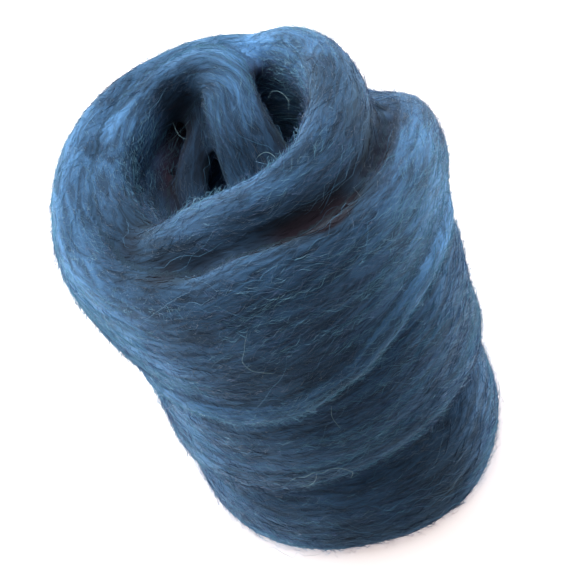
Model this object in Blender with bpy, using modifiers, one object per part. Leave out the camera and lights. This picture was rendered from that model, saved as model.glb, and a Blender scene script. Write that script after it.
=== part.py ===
"""Wool roving roll: one long flattened strand of carded wool wound into a standing roll.

The strand is a sweep along a path table that runs from the end tucked into the middle, out over the
top coils and down the body in a slow helix. A rolled edge follows the widest band. A cupped core fills
the wound middle, a voxel remesh fuses the turns, and a floor cut leaves the flat spot it stands on.
"""

import bmesh
import bpy
import numpy as np

MM = 0.001  # the script works in millimetres and builds in metres

# ---- driving dimensions, mm ----
AXIS_LEAN = -0.09  # how far the axis leans to -X for each millimetre of height
SECTION_POINTS = 28  # points round a strand section
PATH_STEP = 2.5  # spacing of sections along a strand
SECTION_POWER = 2.35  # 2 is an ellipse; more is squarer
VOXEL = 1.45  # the fused skin's cell
SMOOTH_FACTOR = 0.5
SMOOTH_REPEAT = 5
TRIANGLES_WANTED = 8600
SINK = 0.6  # how much of the underside the floor cut takes off
FLOOR_CUTTER = (120.0, 120.0, 30.0)
WOOL_COLOUR = (0.055, 0.125, 0.210, 1.0)

# ---- the strand, from its tucked inner end outwards ----
# angle: degrees round the axis, counter-clockwise from above, right = 0 and back = 90
# radius, height: of the section's middle; tall, thick: half sizes along and across the wall
# tip: degrees that the section's top leans in towards the axis
STRAND_COLUMNS = ("angle", "radius", "height", "tall", "thick", "tip")
STRAND = (
    (60, 5.6, 40.0, 4.6, 4.4, 0),
    (61, 5.6, 49.0, 5.6, 4.6, 0),
    (64, 5.8, 58.0, 7.0, 4.6, 0),
    (68, 6.4, 66.0, 8.0, 4.8, 0),
    (75, 8.7, 73.0, 7.8, 4.8, 0),
    (82, 12.0, 78.8, 7.0, 4.8, 0),
    (86, 16.8, 83.8, 6.0, 4.8, 0),
    (87, 22.0, 87.4, 5.2, 4.8, 0),
    (92, 26.0, 88.4, 5.0, 4.4, 0),
    (108, 28.0, 87.0, 5.2, 3.4, 0),
    (130, 27.6, 83.8, 6.0, 3.3, 0),
    (150, 27.8, 80.6, 7.0, 3.5, 0),
    (168, 27.2, 78.2, 7.8, 4.2, 0),
    (185, 26.2, 76.0, 8.0, 5.2, 0),
    (200, 25.4, 74.6, 8.0, 6.0, 0),
    (214, 24.4, 75.6, 8.2, 6.2, 0),
    (230, 22.8, 78.4, 9.2, 6.0, 2),
    (249, 20.8, 81.2, 10.4, 5.8, 4),
    (270, 20.2, 82.8, 11.2, 5.6, 4),
    (292, 20.0, 84.0, 11.6, 5.2, 4),
    (315, 19.6, 84.8, 11.8, 5.3, 4),
    (340, 19.6, 85.4, 12.0, 5.8, 4),
    (365, 21.2, 85.8, 11.8, 5.8, 4),
    (390, 24.4, 86.2, 11.2, 5.4, 4),
    (412, 27.4, 86.2, 10.2, 4.6, 4),
    (430, 30.2, 84.2, 8.8, 3.7, 4),
    (450, 32.4, 82.6, 9.6, 4.2, 4),
    (472, 33.8, 81.8, 9.8, 4.2, 4),
    (500, 33.6, 79.6, 10.8, 4.3, 2),
    (525, 33.9, 76.4, 11.8, 5.6, 0),
    (548, 34.2, 72.6, 12.2, 6.0, -6),
    (575, 32.8, 67.4, 15.4, 5.3, -8),
    (605, 32.8, 67.6, 17.0, 5.2, -3),
    (630, 32.6, 71.4, 16.8, 5.2, 4),
    (655, 32.4, 75.2, 13.3, 5.2, 4),
    (680, 32.0, 76.8, 11.0, 4.9, 3),
    (705, 31.8, 76.0, 10.2, 5.2, 0),
    (730, 33.2, 73.0, 9.8, 5.7, -2),
    (750, 32.0, 67.6, 11.0, 5.6, -2),
    (775, 30.8, 64.0, 14.0, 5.8, 2),
    (810, 29.8, 56.0, 16.5, 6.0, 4),
    (860, 29.0, 49.0, 18.0, 6.0, 4),
    (910, 27.7, 42.5, 18.0, 6.0, 4),
    (945, 27.6, 41.0, 16.5, 6.2, 4),
    (985, 28.8, 43.5, 14.5, 6.2, 4),
    (1025, 29.4, 48.0, 14.0, 6.2, 2),
    (1065, 29.2, 50.0, 14.0, 6.2, 2),
    (1110, 28.0, 45.0, 13.5, 6.2, 4),
    (1170, 27.8, 36.0, 13.0, 6.2, 4),
    (1230, 28.0, 29.0, 12.0, 6.2, 4),
    (1285, 28.0, 28.6, 9.4, 6.4, 4),
    (1345, 27.3, 33.4, 9.2, 6.4, 4),
    (1400, 27.9, 37.2, 9.4, 6.4, 4),
    (1450, 28.1, 33.4, 10.8, 6.4, 4),
    (1510, 27.4, 23.0, 11.5, 6.4, 2),
    (1570, 26.8, 14.5, 12.0, 6.4, 0),
    (1640, 27.0, 11.0, 11.0, 6.6, -2),
    (1710, 26.0, 11.5, 12.0, 6.6, -2),
    (1745, 26.2, 11.0, 12.0, 6.6, 2),
    (1778, 26.1, 12.0, 12.3, 6.5, 4),
    (1850, 27.0, 12.0, 12.0, 6.4, 2),
    (1920, 26.2, 11.0, 11.0, 5.6, 0),
    (1960, 25.6, 11.0, 8.0, 3.6, 0),
)

# ---- a thinner inner turn that shows in the hollow, same columns ----
INNER_TURN = (
    (97, 25.0, 85.0, 1.4, 1.2, 0),
    (101, 23.6, 82.0, 2.4, 2.2, 0),
    (106, 22.6, 79.0, 3.0, 2.8, 0),
    (113, 21.2, 76.4, 3.3, 3.0, 0),
    (122, 19.8, 74.0, 3.4, 3.0, 0),
    (135, 17.6, 71.0, 3.4, 3.0, 0),
    (150, 15.4, 66.0, 3.0, 2.6, 0),
    (165, 13.6, 58.0, 1.8, 1.8, 0),
)

# ---- the rolled lower edge of the widest band, same columns ----
ROLLED_EDGE = (
    (535, 31.0, 54.0, 2.0, 1.6, 0),
    (560, 33.4, 52.8, 2.6, 2.4, 0),
    (585, 34.8, 51.6, 2.8, 2.8, 0),
    (615, 35.6, 52.2, 2.9, 2.9, 0),
    (642, 35.8, 58.8, 2.8, 2.9, 0),
    (662, 35.7, 64.4, 2.8, 2.9, 0),
    (682, 35.4, 67.4, 2.8, 2.8, 0),
    (705, 34.8, 67.4, 2.6, 2.4, 0),
    (730, 33.6, 64.8, 2.0, 1.6, 0),
)

# ---- the wound middle, ring by ring: up the outside, over the top and down into the hollow ----
CORE_COLUMNS = ("height", "middle_x", "middle_y", "half_x", "half_y")
CORE = (
    (0.0, 0, 0, 22.0, 22.0),
    (3.0, 0, 0, 26.0, 26.0),
    (10.0, 0, 0, 28.0, 28.0),
    (40.0, 0, 0, 29.0, 29.0),
    (60.0, 0, 0, 30.5, 30.5),
    (74.0, 0, 0, 32.0, 32.0),
    (79.0, 0, 0, 30.5, 30.5),
    (79.0, -1, 5, 23.0, 25.0),
    (74.0, -2, 8, 18.0, 21.0),
    (60.0, -2, 9, 16.0, 19.0),
    (46.0, -2, 9, 13.0, 15.0),
    (37.0, -2, 9, 8.0, 9.0),
)
CORE_STEPS = 48


def smooth_rows(rows, columns, step):
    """Table rows as dense values, one array for each column, on smooth curves about step apart."""
    table = np.array(rows, float)
    angle, radius, height = table[:, 0], table[:, 1], table[:, 2]
    turn = np.radians(np.diff(angle)) * (radius[1:] + radius[:-1]) / 2
    apart = np.sqrt(turn**2 + np.diff(radius) ** 2 + np.diff(height) ** 2)
    at = np.concatenate([[0.0], np.cumsum(apart)])
    slope = np.gradient(table, at, axis=0)
    where = np.linspace(0.0, at[-1], int(at[-1] / step) + 1)
    i = np.clip(np.searchsorted(at, where, side="right") - 1, 0, len(at) - 2)
    span = (at[i + 1] - at[i])[:, None]
    s = (where[:, None] - at[i][:, None]) / span
    values = (
        (2 * s**3 - 3 * s**2 + 1) * table[i]
        + (s**3 - 2 * s**2 + s) * span * slope[i]
        + (3 * s**2 - 2 * s**3) * table[i + 1]
        + (s**3 - s**2) * span * slope[i + 1]
    )
    return dict(zip(columns, values.T, strict=True))


def unit(vectors):
    return vectors / np.linalg.norm(vectors, axis=-1, keepdims=True)


def ring_mesh(name, points):
    """A closed skin over rings of points, an array of rings by points by three, in millimetres."""
    rings, n = points.shape[:2]
    faces = [
        (i * n + j, (i + 1) * n + j, (i + 1) * n + (j + 1) % n, i * n + (j + 1) % n)
        for i in range(rings - 1)
        for j in range(n)
    ]
    faces.append(tuple(range(n)))
    faces.append(tuple((rings - 1) * n + j for j in reversed(range(n))))
    mesh = bpy.data.meshes.new(name)
    mesh.from_pydata((points.reshape(-1, 3) * MM).tolist(), [], faces)
    build = bmesh.new()
    build.from_mesh(mesh)
    bmesh.ops.recalc_face_normals(build, faces=build.faces)
    build.to_mesh(mesh)
    build.free()
    return mesh


def swept_strand(name, rows):
    """A closed sweep of a squarish oval along the table's path."""
    at = smooth_rows(rows, STRAND_COLUMNS, PATH_STEP)
    turn = np.radians(at["angle"])
    middle = np.stack(
        [
            AXIS_LEAN * at["height"] + at["radius"] * np.cos(turn),
            at["radius"] * np.sin(turn),
            at["height"],
        ],
        -1,
    )
    along = unit(np.gradient(middle, axis=0))
    out = np.stack([np.cos(turn), np.sin(turn), 0 * turn], -1)
    out = unit(out - (out * along).sum(-1, keepdims=True) * along)
    up = np.cross(out, along)
    round_it = np.linspace(0, 2 * np.pi, SECTION_POINTS, endpoint=False)
    power = 2 / SECTION_POWER
    u = np.sign(np.cos(round_it)) * np.abs(np.cos(round_it)) ** power
    v = np.sign(np.sin(round_it)) * np.abs(np.sin(round_it)) ** power
    u = at["tall"][:, None] * u
    v = at["thick"][:, None] * v
    tip = np.radians(at["tip"])[:, None]
    tall_way = u * np.cos(tip) + v * np.sin(tip)
    thick_way = v * np.cos(tip) - u * np.sin(tip)
    points = (
        middle[:, None, :]
        + tall_way[..., None] * up[:, None, :]
        + thick_way[..., None] * out[:, None, :]
    )
    return ring_mesh(name, points)


def wound_core(name):
    """The wound middle as one closed skin of stacked rings that lean with the axis."""
    turn = np.linspace(0, 2 * np.pi, CORE_STEPS, endpoint=False)
    points = []
    for row in CORE:
        at = dict(zip(CORE_COLUMNS, row, strict=True))
        x = AXIS_LEAN * at["height"] + at["middle_x"] + at["half_x"] * np.cos(turn)
        y = at["middle_y"] + at["half_y"] * np.sin(turn)
        points.append(np.stack([x, y, np.full(CORE_STEPS, at["height"])], -1))
    return ring_mesh(name, np.array(points))


def joined(name, meshes):
    """Several closed meshes in one, still overlapping."""
    build = bmesh.new()
    for mesh in meshes:
        build.from_mesh(mesh)
    whole = bpy.data.meshes.new(name)
    build.to_mesh(whole)
    build.free()
    for mesh in meshes:
        bpy.data.meshes.remove(mesh)
    return whole


def evaluated(obj):
    """The object's mesh with its modifiers applied, as a new mesh."""
    bpy.context.view_layer.update()
    graph = bpy.context.evaluated_depsgraph_get()
    return bpy.data.meshes.new_from_object(obj.evaluated_get(graph))


def largest_skin(mesh):
    """Deletes every loose skin but the largest, which drops the gaps sealed in between turns."""
    build = bmesh.new()
    build.from_mesh(mesh)
    build.verts.ensure_lookup_table()
    seen, skins = set(), []
    for vertex in build.verts:
        if vertex.index in seen:
            continue
        skin, front = [], [vertex]
        seen.add(vertex.index)
        while front:
            here = front.pop()
            skin.append(here)
            for edge in here.link_edges:
                other = edge.other_vert(here)
                if other.index not in seen:
                    seen.add(other.index)
                    front.append(other)
        skins.append(skin)
    skins.sort(key=len)
    bmesh.ops.delete(build, geom=[v for skin in skins[:-1] for v in skin], context="VERTS")
    bmesh.ops.triangulate(build, faces=build.faces)
    build.to_mesh(mesh)
    build.free()


def wool_material():
    wool = bpy.data.materials.new("dyed_wool")
    wool.use_nodes = True
    shader = wool.node_tree.nodes["Principled BSDF"]
    shader.inputs["Base Color"].default_value = WOOL_COLOUR
    shader.inputs["Roughness"].default_value = 0.95
    shader.inputs["Metallic"].default_value = 0.0
    return wool


def main():
    for obj in list(bpy.data.objects):
        bpy.data.objects.remove(obj, do_unlink=True)
    parts = bpy.data.collections.new("wool_roving_roll")
    cutters = bpy.data.collections.new("cutters")
    for collection in (parts, cutters):
        bpy.context.scene.collection.children.link(collection)

    strands = [
        swept_strand("strand", STRAND),
        swept_strand("inner_turn", INNER_TURN),
        swept_strand("rolled_edge", ROLLED_EDGE),
        wound_core("core"),
    ]
    roll = bpy.data.objects.new("roving_roll", joined("roving_roll", strands))
    parts.objects.link(roll)
    roll.location.z = -SINK * MM

    fuse = roll.modifiers.new("fuse_turns", "REMESH")
    fuse.mode = "VOXEL"
    fuse.voxel_size = VOXEL * MM
    soften = roll.modifiers.new("soften", "SMOOTH")
    soften.factor = SMOOTH_FACTOR
    soften.iterations = SMOOTH_REPEAT
    roll.data = evaluated(roll)
    roll.modifiers.clear()
    largest_skin(roll.data)

    thin_out = roll.modifiers.new("thin_out", "DECIMATE")
    thin_out.ratio = min(1.0, TRIANGLES_WANTED / len(roll.data.polygons))

    cutter_mesh = bpy.data.meshes.new("floor_cutter")
    build = bmesh.new()
    bmesh.ops.create_cube(build, size=1.0)
    build.to_mesh(cutter_mesh)
    build.free()
    cutter = bpy.data.objects.new("floor_cutter", cutter_mesh)
    cutters.objects.link(cutter)
    cutter.scale = [side * MM for side in FLOOR_CUTTER]
    cutter.location.z = -FLOOR_CUTTER[2] / 2 * MM
    cutter.hide_render = True
    cutter.display_type = "WIRE"
    flat = roll.modifiers.new("flat_spot", "BOOLEAN")
    flat.operation = "DIFFERENCE"
    flat.solver = "EXACT"
    flat.object = cutter

    roll.data.materials.clear()
    roll.data.materials.append(wool_material())
    for face in roll.data.polygons:
        face.use_smooth = False


main()
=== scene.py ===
"""Wool roving roll: one long flattened strand of dyed wool, wound on itself into a standing roll.

Short tables of sizes give the wound turns. They are lofted, roughened into clumps, given soft patches of
painted light and shade and joined in one felted skin, which is measured for how open each place is, so that
its folds get painted shade. One Geometry Nodes tree then
lays combed fibres, fuzz and long loose fibres along the turns, in the strand's own flow coordinates. A few
single fibres are given one by one.
"""

import logging
from dataclasses import dataclass, field, replace
from enum import Enum
from functools import partial
from math import cos, radians, sin
from typing import Any

import bmesh
import bpy
import numpy as np
from mathutils import Matrix, Vector


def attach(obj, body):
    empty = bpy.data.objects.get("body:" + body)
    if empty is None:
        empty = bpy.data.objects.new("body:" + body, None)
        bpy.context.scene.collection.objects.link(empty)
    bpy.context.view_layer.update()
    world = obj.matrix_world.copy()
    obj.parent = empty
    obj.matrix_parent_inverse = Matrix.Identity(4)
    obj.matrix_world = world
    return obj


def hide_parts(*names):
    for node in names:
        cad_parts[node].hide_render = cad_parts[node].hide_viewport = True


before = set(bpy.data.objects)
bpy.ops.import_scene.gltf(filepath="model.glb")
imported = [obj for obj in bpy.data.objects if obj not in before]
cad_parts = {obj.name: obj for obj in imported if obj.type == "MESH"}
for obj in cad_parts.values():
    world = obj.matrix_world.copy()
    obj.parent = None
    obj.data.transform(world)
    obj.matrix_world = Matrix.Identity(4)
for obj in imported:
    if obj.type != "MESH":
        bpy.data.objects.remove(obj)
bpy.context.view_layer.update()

log = logging.getLogger("wool_roving")

MM = 0.001  # tables are in millimetres, meshes in metres
BODY = "root"
NODE = "roving_roll"

CLUMP_LENGTH = 24.0  # mm along the strand over which its fibres keep one tone
CLUMP_WIDTH = 3.6  # mm across it
ROOT_DEPTH = 0.12  # mm that a fibre's ends lie under the skin
FLOOR_GAP = 0.05  # mm that fibres keep off the surface
FIBRE_NOTES = ("root", "fibre", "share", "width", "roll", "lie", "on_skin")  # read only while they grow
CREST_OPENNESS = 0.97  # from which a fibre takes no painted shade from a fold
LEAST_OPENNESS = 0.36  # under which no fibre grows
UNDERSIDE = 0.4  # mm above the surface, under which none grows either
ANYWHERE = -1.0  # metres, less than any place here, so that it holds nothing back
TONE_PER_STOP = 0.3  # of a fibre's tone for each doubling of brightness by the painted light

# kinds of node and of value that many trees share
MATH = "ShaderNodeMath"
VECTOR_MATH = "ShaderNodeVectorMath"
WHOLE_MATH = "FunctionNodeIntegerMath"
COMBINE = "ShaderNodeCombineXYZ"
SEPARATE = "ShaderNodeSeparateXYZ"
RANGE = "ShaderNodeMapRange"
NOISE = "ShaderNodeTexNoise"
RANDOM = "FunctionNodeRandomValue"
POSITION = "GeometryNodeInputPosition"
MOVE = "GeometryNodeSetPosition"
READ = "GeometryNodeInputNamedAttribute"
STORE = "GeometryNodeStoreNamedAttribute"
NEAREST = "GeometryNodeSampleNearestSurface"
VECTOR = "FLOAT_VECTOR"

Socket = bpy.types.NodeSocket
Node = bpy.types.Node
Tree = bpy.types.NodeTree
Inputs = dict[str, Any] | tuple
Rows = tuple[tuple[float, ...], ...]


# ---------------------------------------------------------------- sizes of the wound form


AXIS_LEAN = -0.09  # how far the axis leans to -X for each millimetre of height
SINK = 0.6  # mm of the underside pressed flat on the surface
STRAND_COLUMNS = ("angle", "radius", "height", "tall", "thick", "tip")
CORE_COLUMNS = ("height", "middle_x", "middle_y", "half_x", "half_y")

# angle: degrees round the axis, counter-clockwise from above, right = 0 and back = 90
# radius, height: of the section's middle; tall, thick: half sizes along and across the wall
# tip: degrees that the section's top leans in towards the axis
STRAND_ROWS = (
    (60, 5.6, 40, 4.6, 4.4, 0),
    (61, 5.6, 49, 5.6, 4.6, 0),
    (64, 5.8, 58, 7, 4.6, 0),
    (68, 6.4, 66, 8, 4.8, 0),
    (75, 8.7, 73, 7.8, 4.8, 0),
    (82, 12, 78.8, 7, 4.8, 0),
    (86, 16.8, 83.8, 6, 4.8, 0),
    (87, 22, 87.4, 5.2, 4.8, 0),
    (92, 26, 88.4, 5, 4.4, 0),
    (108, 28, 87, 5.2, 3.4, 0),
    (130, 27.6, 83.8, 6, 3.3, 0),
    (150, 27.8, 80.6, 7, 3.5, 0),
    (168, 27.2, 78.2, 7.8, 4.2, 0),
    (185, 26.2, 76, 8, 5.2, 0),
    (200, 25.4, 74.6, 8, 6, 0),
    (214, 24.4, 75.6, 8.2, 6.2, 0),
    (230, 22.8, 78.4, 9.2, 6, 2),
    (249, 20.8, 81.2, 10.4, 5.8, 4),
    (270, 20.2, 82.8, 11.2, 5.6, 4),
    (292, 20, 84, 11.6, 5.2, 4),
    (315, 19.6, 84.8, 11.8, 5.3, 4),
    (340, 19.6, 85.4, 12, 5.8, 4),
    (365, 21.2, 85.8, 11.8, 5.8, 4),
    (390, 24.4, 86.2, 11.2, 5.4, 4),
    (412, 27.4, 86.2, 10.2, 4.6, 4),
    (430, 30.2, 84.2, 8.8, 3.7, 4),
    (450, 32.4, 82.6, 9.6, 4.2, 4),
    (472, 33.8, 81.8, 9.8, 4.2, 4),
    (500, 33.6, 79.6, 10.8, 4.3, 2),
    (525, 33.9, 76.4, 11.8, 5.6, 0),
    (548, 34.2, 72.6, 12.2, 6, -6),
    (575, 32.8, 67.4, 15.4, 5.3, -8),
    (605, 32.8, 67.6, 17, 5.2, -3),
    (630, 32.6, 71.4, 16.8, 5.2, 4),
    (655, 32.4, 75.2, 13.3, 5.2, 4),
    (680, 32, 76.8, 11, 4.9, 3),
    (705, 31.8, 76, 10.2, 5.2, 0),
    (730, 33.2, 73, 9.8, 5.7, -2),
    (750, 32, 67.6, 11, 5.6, -2),
    (775, 30.8, 64, 14, 5.8, 2),
    (810, 29.8, 56, 16.5, 6, 4),
    (860, 29, 49, 18, 6, 4),
    (910, 27.7, 42.5, 18, 6, 4),
    (945, 27.6, 41, 16.5, 6.2, 4),
    (985, 28.8, 43.5, 14.5, 6.2, 4),
    (1025, 29.4, 48, 14, 6.2, 2),
    (1065, 29.2, 50, 14, 6.2, 2),
    (1110, 28, 45, 13.5, 6.2, 4),
    (1170, 27.8, 36, 13, 6.2, 4),
    (1230, 28, 29, 12, 6.2, 4),
    (1285, 28, 28.6, 9.4, 6.4, 4),
    (1345, 27.3, 33.4, 9.2, 6.4, 4),
    (1400, 27.9, 37.2, 9.4, 6.4, 4),
    (1450, 28.1, 33.4, 10.8, 6.4, 4),
    (1510, 27.4, 23, 11.5, 6.4, 2),
    (1570, 26.8, 14.5, 12, 6.4, 0),
    (1640, 27, 11, 11, 6.6, -2),
    (1710, 26, 11.5, 12, 6.6, -2),
    (1745, 26.2, 11, 12, 6.6, 2),
    (1778, 26.1, 12, 12.3, 6.5, 4),
    (1850, 27, 12, 12, 6.4, 2),
    (1920, 26.2, 11, 11, 5.6, 0),
    (1960, 25.6, 11, 8, 3.6, 0),
)
INNER_TURN_ROWS = (
    (97, 25, 85, 1.4, 1.2, 0),
    (101, 23.6, 82, 2.4, 2.2, 0),
    (106, 22.6, 79, 3, 2.8, 0),
    (113, 21.2, 76.4, 3.3, 3, 0),
    (122, 19.8, 74, 3.4, 3, 0),
    (135, 17.6, 71, 3.4, 3, 0),
    (150, 15.4, 66, 3, 2.6, 0),
    (165, 13.6, 58, 1.8, 1.8, 0),
)
ROLLED_EDGE_ROWS = (
    (535, 31, 54, 2, 1.6, 0),
    (560, 33.4, 52.8, 2.6, 2.4, 0),
    (585, 34.8, 51.6, 2.8, 2.8, 0),
    (615, 35.6, 52.2, 2.9, 2.9, 0),
    (642, 35.8, 58.8, 2.8, 2.9, 0),
    (662, 35.7, 64.4, 2.8, 2.9, 0),
    (682, 35.4, 67.4, 2.8, 2.8, 0),
    (705, 34.8, 67.4, 2.6, 2.4, 0),
    (730, 33.6, 64.8, 2, 1.6, 0),
)
# ring by ring: up the outside, over the top and down into the hollow
CORE_ROWS = (
    (0, 0, 0, 22, 22),
    (3, 0, 0, 26, 26),
    (10, 0, 0, 28, 28),
    (40, 0, 0, 29, 29),
    (60, 0, 0, 30.5, 30.5),
    (74, 0, 0, 32, 32),
    (79, 0, 0, 30.5, 30.5),
    (79, -1, 5, 23, 25),
    (74, -2, 8, 18, 21),
    (60, -2, 9, 16, 19),
    (46, -2, 9, 13, 15),
    (37, -2, 9, 8, 9),
)

# painted light and shade: x, y, z and size of a soft patch in millimetres, and its stops: how many times
# it doubles the wool's brightness at its middle, below 0 for painted shade, above 0 for painted light
PAINTED_LIGHT_ROWS = (
    (-30, -6, 81, 9, -1.2),
    (-24, -23, 82.5, 6, -0.8),
    (-33, -14, 81, 6, -1.2),
    (-28, -25, 82, 6, -1.1),
    (0, -25.5, 84.5, 4, -1.6),
    (3.7, -25, 84.5, 4, -2),
    (7.6, -22.8, 84.5, 4, -2.2),
    (11.5, -20.5, 84.5, 4, -1.6),
    (-2.5, -29, 86.4, 3, -1.4),
    (3.2, -28.9, 86.8, 3.2, -2.2),
    (7.5, -26.3, 86.6, 3, -2.2),
    (-34.5, 12, 87, 2.4, -1.8),
    (-19, 26, 70, 7, 1.6),
    (-9, 12, 66, 8, 1.6),
    (-5, -26.5, 85, 5, -1.4),
    (-12.5, -26.5, 84.7, 5, -0.8),
    (15.5, -7, 90, 6.5, -0.8),
    (15, -27, 14, 10, -1.2),
    (10, 2, 95, 7, -1.1),
    (-11.7, 22.2, 89.4, 4.5, -1),
    (-16.3, 22.9, 81.5, 4, -0.8),
    (-5, 7, 80, 5, -0.8),
    (-24, 19.9, 74.7, 4.5, 0.8),
    (-21, 19, 74, 6, 0.8),
    (-28.9, 17.9, 88.2, 5, 0.6),
    (-39.4, 0.3, 85.3, 9, 0.6),
    (-40.8, -9, 83.3, 9, 0.5),
    (-36, 14, 88, 10, 0.9),
    (-14, 32, 88, 10, 0.7),
    (0, 26, 88, 8, 1.5),
    (4, 24, 80, 7, 1.3),
    (-4, 18, 89.7, 4, 0.7),
    (-5.6, 13.1, 86.3, 5, 0.8),
    (24, -22, 72, 13, 0.8),
    (-19, -35, 60.5, 6, -0.6),
    (-5, -38, 62.5, 6, -0.6),
    (-20, -30, 38, 9, -0.5),
    (-20, -25, 17, 9, -0.8),
    (5.6, -28, 87.3, 2.2, -1.6),
    (-5, 46, 42, 30, -1),
    (-5, -33, 8, 8, -0.6),
    (-12.4, -37, 60, 5, -0.4),
    (-16.8, 14.5, 75.5, 5, -1.5),
    (-23, 21, 75, 6, 1.2),
    (-23, 19.5, 85.5, 5, 0.5),
    (-17, 22.8, 83.5, 4.5, -1.1),
    (25, -8, 86, 7, 0.7),
    (-2, -22.5, 91.5, 6, 0.5),
    (27, -7, 24, 5, 0.6),
    (-19, 22.3, 86.8, 3.5, -0.8),
    (-3.9, 8.3, 81.7, 4, -0.4),
    (-24, -33.4, 77.7, 6, -0.5),
    (-42.1, -16.2, 78.4, 8, 0.7),
    (-37.2, -22.8, 70.8, 7, 0.7),
    (-32.3, -25, 61, 7, 0.7),
    (-30.5, -19, 34, 7, 0.5),
    (29, -10, 73, 8, 0.6),
    (22, -20, 8, 7, 0.7),
    (6, 20.7, 95, 7, 0.6),
    (14, 10, 97, 7, 0.5),
)


# ---------------------------------------------------------------- small helpers


def linear(hex_colour: str) -> tuple[float, float, float, float]:
    """Turns an sRGB hex colour to linear RGBA.

    Args:
        hex_colour: six digits after a hash.

    Returns:
        Linear red, green, blue and an alpha of 1.
    """
    parts = [int(hex_colour[i : i + 2], 16) / 255 for i in (1, 3, 5)]
    turned = [c / 12.92 if c <= 0.04045 else ((c + 0.055) / 1.055) ** 2.4 for c in parts]
    return (*turned, 1.0)


def result(node: Node) -> Socket:
    """Gives the node's first output in use."""
    return next(s for s in node.outputs if s.enabled)


def add_node(tree: Tree, kind: str, inputs: Inputs = (), operation: str = "", **settings: Any) -> Any:
    """Adds one node with its settings, values and links.

    Args:
        tree: the node tree that takes it.
        kind: the node's type name.
        inputs: what goes in, as a row in the sockets' order or by name, which means the first socket of
            that name in use. A socket is linked, and so is a node's first output in use. Anything else
            is set as the value.
        operation: what the node does, if it is one that works out a value.
        **settings: the node's other properties.

    Returns:
        The node.
    """
    node = tree.nodes.new(kind)
    if operation:
        node.operation = operation
    for name, value in settings.items():
        setattr(node, name, value)
    by_name = isinstance(inputs, dict)
    for key, value in inputs.items() if by_name else enumerate(inputs):
        socket = next(s for s in node.inputs if s.name == key and s.enabled) if by_name else node.inputs[key]
        if isinstance(value, Node):
            value = result(value)
        if isinstance(value, Socket):
            tree.links.new(value, socket)
        else:
            socket.default_value = value
    return node


def new_tree(name: str, kinds: dict[str, str]) -> Tree:
    """Starts a Geometry Nodes tree that takes a geometry and gives one.

    Args:
        name: its name.
        kinds: its other inputs' names, and what each takes: "Float", "Int", "Object" or "Material".

    Returns:
        The tree, with its sockets and no node.
    """
    tree = bpy.data.node_groups.new(name, "GeometryNodeTree")
    for socket, kind in ({"Geometry": "Geometry"} | kinds).items():
        tree.interface.new_socket(socket, in_out="INPUT", socket_type="NodeSocket" + kind)
    tree.interface.new_socket("Geometry", in_out="OUTPUT", socket_type="NodeSocketGeometry")
    return tree


def end_tree(tree: Tree, geometry: Any, material: Socket | None = None) -> None:
    """Ends a Geometry Nodes tree: smooth and dressed if there is a material, with instances made real.

    Args:
        tree: the tree.
        geometry: the node or socket that it gives.
        material: the input that holds the material, or None for a helper.
    """
    if material is not None:
        geometry = add_node(tree, "GeometryNodeSetShadeSmooth", {"Geometry": geometry})
        dress = {"Geometry": geometry, "Material": material}
        geometry = add_node(tree, "GeometryNodeSetMaterial", dress)
    whole = add_node(tree, "GeometryNodeRealizeInstances", {"Geometry": geometry})
    add_node(tree, "NodeGroupOutput", {"Geometry": whole})


def in_tree_units(sizes: Any, units: dict[str, float]) -> dict[str, float]:
    """Turns an object's sizes to the values of a tree's inputs.

    Args:
        sizes: the object, with a field for each input: half_width for "Half Width".
        units: the inputs' names, and what one of the object's units is in the tree's.

    Returns:
        Input names and values.
    """
    return {name: getattr(sizes, name.lower().replace(" ", "_")) * unit for name, unit in units.items()}


def new_object(name: str, data: Any) -> bpy.types.Object:
    """Puts an object in the scene, at the origin.

    Args:
        name: its name.
        data: its mesh, light or camera.

    Returns:
        The object.
    """
    made = bpy.data.objects.new(name, data)
    bpy.context.scene.collection.objects.link(made)
    return made


def grown(base: bpy.types.Object, tree: Tree, values: dict[str, Any], name: str) -> bpy.types.Object:
    """Runs a node tree on an object and keeps the result as a plain mesh object.

    Args:
        base: the object that the tree starts from. It is left as it was.
        tree: the Geometry Nodes tree.
        values: the tree's inputs, by name.
        name: the new object's name.

    Returns:
        The new object, at the origin.
    """
    modifier = base.modifiers.new(tree.name, "NODES")
    modifier.node_group = tree
    sockets = {s.name: s.identifier for s in tree.interface.items_tree if s.in_out == "INPUT"}
    for key, value in values.items():
        modifier[sockets[key]] = value
    bpy.context.view_layer.update()
    graph = bpy.context.evaluated_depsgraph_get()
    mesh = bpy.data.meshes.new_from_object(base.evaluated_get(graph))
    base.modifiers.remove(modifier)
    mesh.name = name
    return new_object(name, mesh)


def seat(piece: bpy.types.Object) -> None:
    """Puts a finished piece on the roll's body, and reports it.

    Args:
        piece: the piece.
    """
    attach(piece, BODY)
    log.info("%s: %d faces", piece.name, len(piece.data.polygons))


def store(mesh: bpy.types.Mesh, name: str, values: np.ndarray, domain: str = "POINT") -> None:
    """Stores a number or a vector for each of a mesh's points or corners.

    Args:
        mesh: the mesh.
        name: the attribute's name.
        values: one number or row for each.
        domain: "POINT" or "CORNER".
    """
    kind, key = (VECTOR, "vector") if values.ndim == 2 else ("FLOAT", "value")
    notes = mesh.attributes.new(name, kind, domain).data
    notes.foreach_set(key, values.astype(np.float32).ravel())


def store_normals(mesh: bpy.types.Mesh) -> None:
    """Stores a mesh's vertex normals as "outward".

    Args:
        mesh: the mesh.
    """
    normals = np.empty(len(mesh.vertices) * 3, np.float32)
    mesh.vertex_normals.foreach_get("vector", normals)
    store(mesh, "outward", normals.reshape(-1, 3))


def face_outwards(mesh: bpy.types.Mesh) -> None:
    """Turns a closed mesh's faces outwards.

    Args:
        mesh: the mesh.
    """
    build = bmesh.new()
    build.from_mesh(mesh)
    bmesh.ops.recalc_face_normals(build, faces=build.faces)
    build.to_mesh(mesh)
    build.free()


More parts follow.
